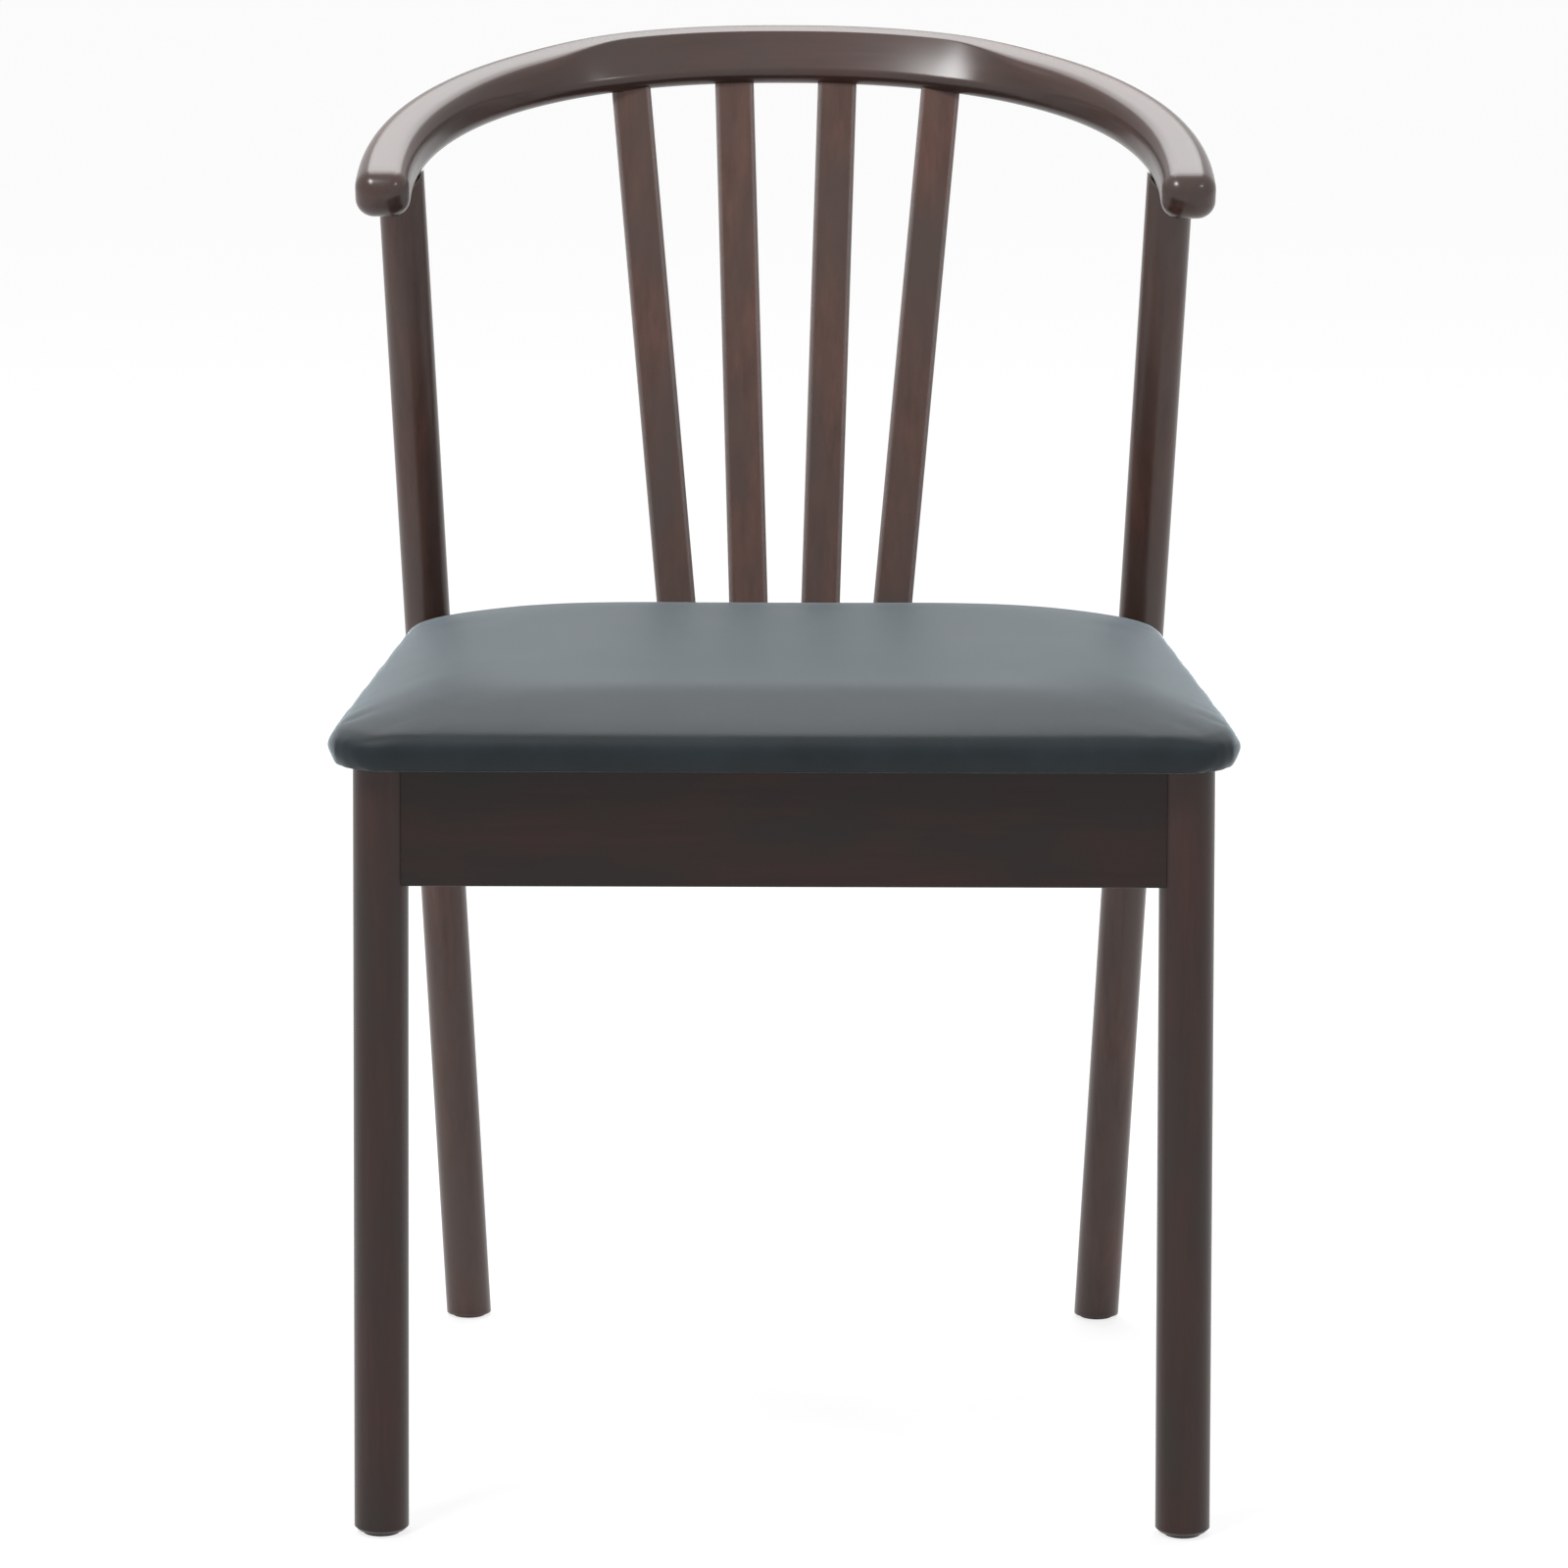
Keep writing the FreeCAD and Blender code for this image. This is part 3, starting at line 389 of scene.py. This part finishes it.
def creasedSkin(name, finish):
    # matt leather or cloth with a soft sheen over fine creases
    material = bpy.data.materials.new(name)
    tree = nodeTree(material)
    effects = placeGroup(tree, creaseGroup, objectPlace(tree), Scale=finish["grainScale"])
    body = mixColours(tree, effects["Mottle"], finish["dark"], finish["light"])
    gloss = rangeNode(tree, effects["Mottle"], (0.0, 1.0),
                      (finish["roughness"], finish["roughness"] + creases["duller"]))
    shader = principledNode(tree, body, gloss, {
        "Specular IOR Level": finish["specular"], "Sheen Weight": finish["sheen"],
        "Sheen Roughness": finish["sheenRoughness"], "Sheen Tint": finish["sheenTint"] + (1,)})
    link(tree, bumpNode(tree, effects["Creases"], finish["bump"], creases["depth"]), shader.inputs["Normal"])
    return material


def scuffedPart(name, finish):
    # plain metal or plastic, duller where it is scuffed
    material = bpy.data.materials.new(name)
    tree = nodeTree(material)
    scuffsAndHighlight = placeGroup(tree, scuffGroup, objectPlace(tree), Scale=finish["scale"])["Scuffs"]
    body = mixColours(tree, scuffsAndHighlight, finish["dark"], finish["light"])
    gloss = rangeNode(tree, scuffsAndHighlight, scuffs["limits"],
                      (finish["roughness"], finish["roughness"] + scuffs["duller"]))
    principledNode(tree, body, gloss, {"Metallic": finish["metallic"]})
    return material


def roundedOutline(corners, radii, counts):
    # points round a convex outline, each corner an arc
    points = []
    for index, here in enumerate(corners):
        before = (corners[index - 1] - here).normalized()
        after = (corners[(index + 1) % len(corners)] - here).normalized()
        halfAngle = before.angle(after) / 2
        middle = here + (before + after).normalized() * (radii[index] / math.sin(halfAngle))
        start = here + before * (radii[index] / math.tan(halfAngle)) - middle
        sweep = start.angle_signed(here + after * (radii[index] / math.tan(halfAngle)) - middle)
        for step in range(counts[index] + 1):
            turn = Matrix.Rotation(-sweep * step / counts[index], 2)
            points.append(middle + turn @ start)
    return points


print("piece: sculpted bow rail")

# edge sets how strong the painted highlight along the edges is
woodFinish = dict(dark=(0.036, 0.014, 0.010), light=(0.072, 0.029, 0.021), patch=(0.044, 0.025, 0.020),
                  roughness=0.5, under=0.1, coat=0.8, coatRoughness=0.26, bump=0.12, edge=0.10)

# Angles in degrees from the middle of the back. The carved face ends where the arms begin.
bowRail = dict(
    halfWidth=0.2302, depth=0.1924, fullness=2.3, tilt=19.9, endY=0.05705, endHeight=0.7057,
    width=0.0315, height=0.028, corner=0.0085, cornerRoom=1.02,
    carve=0.0195, knee=0.017, crispEdge=0.0014, kneeEdge=0.006, backEdge=0.0045,
    topFade=(27.0, 45.0), sideFade=(36.0, 64.0), armCorner=0.0105, armFade=(30.0, 60.0),
    endRound=0.0128, endBack=0.0044, endSqueeze=0.8,
    stations=64, capRings=10, arcSteps=8, edgeSteps=5, smoothAngle=40,
    finish=dict(woodFinish, coat=0.9, coatRoughness=0.235))
bowTilt = math.radians(bowRail["tilt"])
bowBack = Vector((0, math.cos(bowTilt), math.sin(bowTilt)))
bowUp = Vector((0, -math.sin(bowTilt), math.cos(bowTilt)))
bowOrigin = Vector((0, bowRail["endY"], bowRail["endHeight"]))


def bowStation(angle):
    # centre and outward direction of the section, at an angle from the middle of the back
    across = math.sin(angle)
    back = max(math.cos(angle), 0.0)
    power = bowRail["fullness"]
    halfWidth, depth = bowRail["halfWidth"], bowRail["depth"]
    reach = (abs(across / halfWidth) ** power + (back / depth) ** power) ** (-1 / power)
    slopeAcross = math.copysign(abs(across * reach / halfWidth) ** (power - 1), across) / halfWidth
    slopeBack = (back * reach / depth) ** (power - 1) / depth
    centre = bowOrigin + Vector((across * reach, 0, 0)) + bowBack * (back * reach)
    outward = Vector((slopeAcross, 0, 0)) + bowBack * slopeBack
    return centre, outward.normalized()


def fade(angle, limits):
    # one below the first limit in degrees, nought above the second
    low, high = map(math.radians, limits)
    share = min(max((high - angle) / (high - low), 0.0), 1.0)
    return share * share * (3 - 2 * share)


def bowSection(angle, inset=0.0, beyond=0.0):
    # square with round corners at the arms, with a slanted face cut into it behind the sitter
    centre, outward = bowStation(angle)
    halfWidth = bowRail["width"] / 2 - inset
    halfHeight = bowRail["height"] / 2 - inset
    carvedTop = fade(abs(angle), bowRail["topFade"])
    carvedSide = fade(abs(angle), bowRail["sideFade"])
    grown = (bowRail["armCorner"] - bowRail["corner"]) * (1 - fade(abs(angle), bowRail["armFade"]))
    soft = bowRail["corner"] + grown - inset * bowRail["endSqueeze"]
    chamfer = soft * (2 - math.sqrt(2)) * bowRail["cornerRoom"]
    topCut = chamfer + (bowRail["carve"] - chamfer) * carvedTop
    sideCut = chamfer + (bowRail["knee"] - chamfer) * carvedSide
    corners = [Vector(pair) for pair in (
        (-halfWidth, -halfHeight), (halfWidth, -halfHeight), (halfWidth, halfHeight),
        (-halfWidth + topCut, halfHeight), (-halfWidth, halfHeight - sideCut))]
    crisp = soft + (bowRail["crispEdge"] - soft) * carvedTop
    kneeRound = soft + (bowRail["kneeEdge"] - soft) * carvedSide
    topRound = soft + (bowRail["backEdge"] - soft) * carvedTop
    steps = [bowRail["arcSteps"]] * 3 + [bowRail["edgeSteps"]] * 2
    outline = roundedOutline(corners, [soft, soft, topRound, crisp, kneeRound], steps)
    place = centre - bowBack * beyond
    return [place + outward * point.x + bowUp * point.y for point in outline]


def bowRings():
    # from one rounded arm end round the back to the other
    radius = bowRail["endRound"]
    caps = []
    for step in range(bowRail["capRings"] + 1):
        turn = math.pi / 2 * step / bowRail["capRings"]
        caps.append((radius * (1 - math.sin(turn)), radius * math.cos(turn) - bowRail["endBack"]))
    rings = [bowSection(-math.pi / 2, inset, beyond) for inset, beyond in caps]
    count = bowRail["stations"]
    rings += [bowSection(math.pi / 2 * index / count) for index in range(2 - count, count - 1)]
    rings += [bowSection(math.pi / 2, inset, beyond) for inset, beyond in reversed(caps)]
    return rings


bow = sweepRings("bow_rail_carved", bowRings())
pick(bow)
bpy.ops.object.shade_smooth_by_angle(angle=math.radians(bowRail["smoothAngle"]))
# Distance along the bow and place in its section, for the grain
grainPlace = bow.data.attributes.new("grainPlace", "FLOAT_VECTOR", "POINT")
bowLine = [bowStation(math.radians(degree))[0] for degree in range(-90, 91)]
bowLength = [0.0]
for before, after in zip(bowLine, bowLine[1:]):
    bowLength.append(bowLength[-1] + (after - before).length)
for index, vertex in enumerate(bow.data.vertices):
    flat = vertex.co - bowOrigin
    angle = math.atan2(flat.x, flat.dot(bowBack))
    share = min(max(math.degrees(angle) + 90, 0), 179.999)  # the arm ends lie beyond both right angles
    low = int(share)
    along = bowLength[low] + (bowLength[low + 1] - bowLength[low]) * (share - low)
    centre, outward = bowStation(angle)
    offset = vertex.co - centre
    grainPlace.data[index].vector = (along, offset.dot(outward), offset.dot(bowUp))
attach(bow, "root")
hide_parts("bow_rail")
bow.data.materials.append(stainedWood("bowWood", bowRail["finish"], attribute="grainPlace"))

print("piece: cushion")

cushion = dict(
    frontY=-0.25545, backY=0.15155, frontWidth=0.497, backWidth=0.437,
    bottom=0.42965, edge=0.0115, crown=0.0355,
    frontCorner=0.030, backCorner=0.050, crownCorner=0.060, cornerSteps=10,
    tuck=0.0035, edgeTuck=0.001, edgeBelow=0.006, frontRoll=0.060, sideRoll=0.064, backRoll=0.058,
    rollAngle=70, rollSteps=9, climbPower=0.9, dome=0.0012, domeShares=(0.8, 0.6, 0.4, 0.2),
    smaller=0.0005, lower=0.001,  # room for the swelling
    voxel=0.005, pressure=4.0, cap=0.0018, frames=20, heldAbove=0.014,
    smoothing=30, smoothFrom=0.023, smoothOver=0.006, smoothAngle=50,
    boardInset=0.006, boardBottom=0.4304, boardTop=0.4430,
    mouthInset=0.0226, mouthCorner=0.008, mouthBelow=0.005,
    finish=dict(dark=(0.009, 0.014, 0.017), light=(0.015, 0.022, 0.027), roughness=0.45, bump=0.12,
                specular=0.22, sheen=1.0, sheenRoughness=0.27, sheenTint=(0.78, 0.92, 1.0), grainScale=900.0))


def seatOutline(inset, height, frontCorner, backCorner, frontMore=0.0, sideMore=0.0, backMore=0.0):
    frontY = cushion["frontY"] + inset + frontMore
    backY = cushion["backY"] - inset - backMore
    taper = (cushion["frontWidth"] - cushion["backWidth"]) / 2 / (cushion["backY"] - cushion["frontY"])
    halfFront = cushion["frontWidth"] / 2 - inset - sideMore - taper * (frontY - cushion["frontY"])
    halfBack = cushion["backWidth"] / 2 - inset - sideMore + taper * (cushion["backY"] - backY)
    corners = [Vector(pair) for pair in ((-halfFront, frontY), (halfFront, frontY), (halfBack, backY),
                                         (-halfBack, backY))]
    radii = [frontCorner, frontCorner, backCorner, backCorner]
    outline = roundedOutline(corners, radii, [cushion["cornerSteps"]] * 4)
    return [Vector((point.x, point.y, height)) for point in outline]


def cushionRings():
    # tucked in under the edge, rolled over it, then a low dome
    smaller = cushion["smaller"]
    edge = cushion["bottom"] + cushion["edge"]
    rise = cushion["crown"] - cushion["edge"] - cushion["lower"]
    frontCorner, backCorner = cushion["frontCorner"], cushion["backCorner"]
    rings = []
    for height, tuck in ((cushion["bottom"], cushion["tuck"] - smaller),
                         (edge - cushion["edgeBelow"], cushion["edgeTuck"]), (edge, 0.0)):
        rings.append(seatOutline(tuck + smaller, height, frontCorner, backCorner))
    fullTurn = math.radians(cushion["rollAngle"])
    for step in range(1, cushion["rollSteps"] + 1):
        turn = fullTurn * step / cushion["rollSteps"]
        climb = (math.sin(turn) / math.sin(fullTurn)) ** cushion["climbPower"]
        travel = (1 - math.cos(turn)) / (1 - math.cos(fullTurn))
        grown = cushion["crownCorner"] * travel
        rings.append(seatOutline(smaller, edge + rise * climb, frontCorner + grown, backCorner + grown,
                                 cushion["frontRoll"] * travel, cushion["sideRoll"] * travel,
                                 cushion["backRoll"] * travel))
    flat = rings[-1]
    middleY = (cushion["frontY"] + cushion["frontRoll"] + cushion["backY"] - cushion["backRoll"]) / 2
    middle = Vector((0, middleY, flat[0].z))
    for share in cushion["domeShares"]:
        lift = Vector((0, 0, cushion["dome"] * (1 - share * share)))
        rings.append([middle + (point - middle) * share + lift for point in flat])
    return rings


def fillGroup(piece, name, weigh):
    # a vertex group weighed by height
    group = piece.vertex_groups.new(name=name)
    for vertex in piece.data.vertices:
        group.add([vertex.index], min(max(weigh(vertex.co.z), 0.0), 1.0), "REPLACE")


seat = sweepRings("cushion_pad", cushionRings())
applyModifier(seat, "REMESH", mode="VOXEL", voxel_size=cushion["voxel"])
print("piece: cushion swells under its skin")
resting = [vertex.co.copy() for vertex in seat.data.vertices]
heldFrom = cushion["bottom"] + cushion["edge"]
fillGroup(seat, "held", lambda height: 1.0 - (height - heldFrom) / cushion["heldAbove"])
cloth = addModifier(seat, "CLOTH")
cloth.settings.use_pressure = True
cloth.settings.uniform_pressure_force = cushion["pressure"]
cloth.settings.vertex_group_mass = "held"
cloth.settings.effector_weights.gravity = 0
for frameNumber in range(1, cushion["frames"] + 1):
    bpy.context.scene.frame_set(frameNumber)
pick(seat)
bpy.ops.object.modifier_apply(modifier=cloth.name)
for vertex, start in zip(seat.data.vertices, resting):
    step = vertex.co - start
    if step.length > cushion["cap"]:
        vertex.co = start + step.normalized() * cushion["cap"]
    vertex.co.z = max(vertex.co.z, cushion["bottom"])
smoothFrom = cushion["bottom"] + cushion["smoothFrom"]
fillGroup(seat, "free", lambda height: (height - smoothFrom) / cushion["smoothOver"])
applyModifier(seat, "SMOOTH", factor=0.5, iterations=cushion["smoothing"], vertex_group="free")
applyModifier(seat, "SUBSURF", levels=1, render_levels=1)
# Hollow for the board, which leaves the skin folded under its edge
mouth = dict(inset=cushion["mouthInset"], frontCorner=cushion["mouthCorner"],
             backCorner=cushion["mouthCorner"])
panel = dict(inset=cushion["boardInset"], frontCorner=cushion["frontCorner"] - cushion["boardInset"],
             backCorner=cushion["backCorner"] - cushion["boardInset"])
hollow = sweepRings("board_hollow", [
    seatOutline(height=cushion["bottom"] - cushion["mouthBelow"], **mouth),
    seatOutline(height=cushion["boardBottom"], **mouth),
    seatOutline(height=cushion["boardBottom"], **panel),
    seatOutline(height=cushion["boardTop"], **panel)])
applyModifier(seat, "BOOLEAN", operation="DIFFERENCE", object=hollow, solver="MANIFOLD")
pick(hollow)
bpy.ops.object.delete()
pick(seat)
bpy.ops.object.shade_smooth_by_angle(angle=math.radians(cushion["smoothAngle"]))
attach(seat, "root")
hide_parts("seat_cover", "seat_foam")
seat.data.materials.clear()  # the hollow leaves an empty slot
seat.data.materials.append(creasedSkin("seatLeather", cushion["finish"]))

print("materials: posts, legs, slats, rails and hidden parts")

# painted light: a much lighter copy of the same stained wood for the slats, with a strong painted highlight
# along their edges
slatFinishPaintedLight = dict(woodFinish, dark=(0.078, 0.036, 0.028), light=(0.140, 0.066, 0.050),
                  patch=(0.078, 0.050, 0.042), coat=0.62, coatRoughness=0.2, edge=0.8)
# painted light: a lighter copy of the same stained wood for the rear posts
postFinishPaintedLight = dict(woodFinish, dark=(0.046, 0.019, 0.014), light=(0.095, 0.043, 0.033),
                  patch=(0.062, 0.038, 0.031), coat=0.7)
# painted shade: a darker copy of the same stained wood for the front legs and side rails under the seat
legFinishPaintedShade = dict(woodFinish, dark=(0.022, 0.007, 0.005), light=(0.046, 0.015, 0.011),
                 patch=(0.022, 0.013, 0.010), coat=0.55, edge=0.0)
# painted shade: a much darker copy of the same stained wood for the rails under the seat's overhang
apronFinishPaintedShade = dict(woodFinish, dark=(0.012, 0.004, 0.003), light=(0.026, 0.008, 0.006),
                   patch=(0.009, 0.006, 0.005), coat=0.42, coatRoughness=0.34, edge=0.0)
plainFinish = dict(dark=(0.42, 0.28, 0.16), light=(0.55, 0.39, 0.24), patch=(0.50, 0.34, 0.20),
                   roughness=0.6, under=0.4, coat=0.0, coatRoughness=0.3, bump=0.3, edge=0.0)
clothFinish = dict(cushion["finish"], dark=(0.010, 0.010, 0.011), light=(0.016, 0.016, 0.017),
                   roughness=0.85, bump=0.5, grainScale=1400.0)
steelFinish = dict(dark=(0.45, 0.44, 0.42), light=(0.62, 0.61, 0.58), roughness=0.3, metallic=1.0,
                   scale=700.0)
plasticFinish = dict(dark=(0.03, 0.03, 0.03), light=(0.06, 0.06, 0.06), roughness=0.45, metallic=0.0,
                     scale=300.0)

upright = (0, math.pi / 2, 0)  # grain along Z
lengthwise = (0, 0, math.pi / 2)  # grain along Y
apronWood = stainedWood("apronWood", apronFinishPaintedShade)
paints = {
    "slat": stainedWood("slatWood", slatFinishPaintedLight, upright),
    "rear_post": stainedWood("postWood", postFinishPaintedLight, upright),
    "front_leg": stainedWood("legWood", legFinishPaintedShade, upright),
    "front_rail": apronWood,
    "rear_rail": apronWood,
    "side_rail": stainedWood("sideWood", legFinishPaintedShade, lengthwise),
    "corner_block": stainedWood("blockWood", plainFinish, upright),
    "seat_board": stainedWood("plyWood", plainFinish),
    "dust_cover": creasedSkin("dustCloth", clothFinish),
    "seat_screws": scuffedPart("screwSteel", steelFinish),
    "front_glides": scuffedPart("glidePlastic", plasticFinish),
}
paints["rear_glides"] = paints["front_glides"]
for name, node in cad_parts.items():
    for start, material in paints.items():
        if name.startswith(start):
            node.data.materials.clear()
            node.data.materials.append(material)
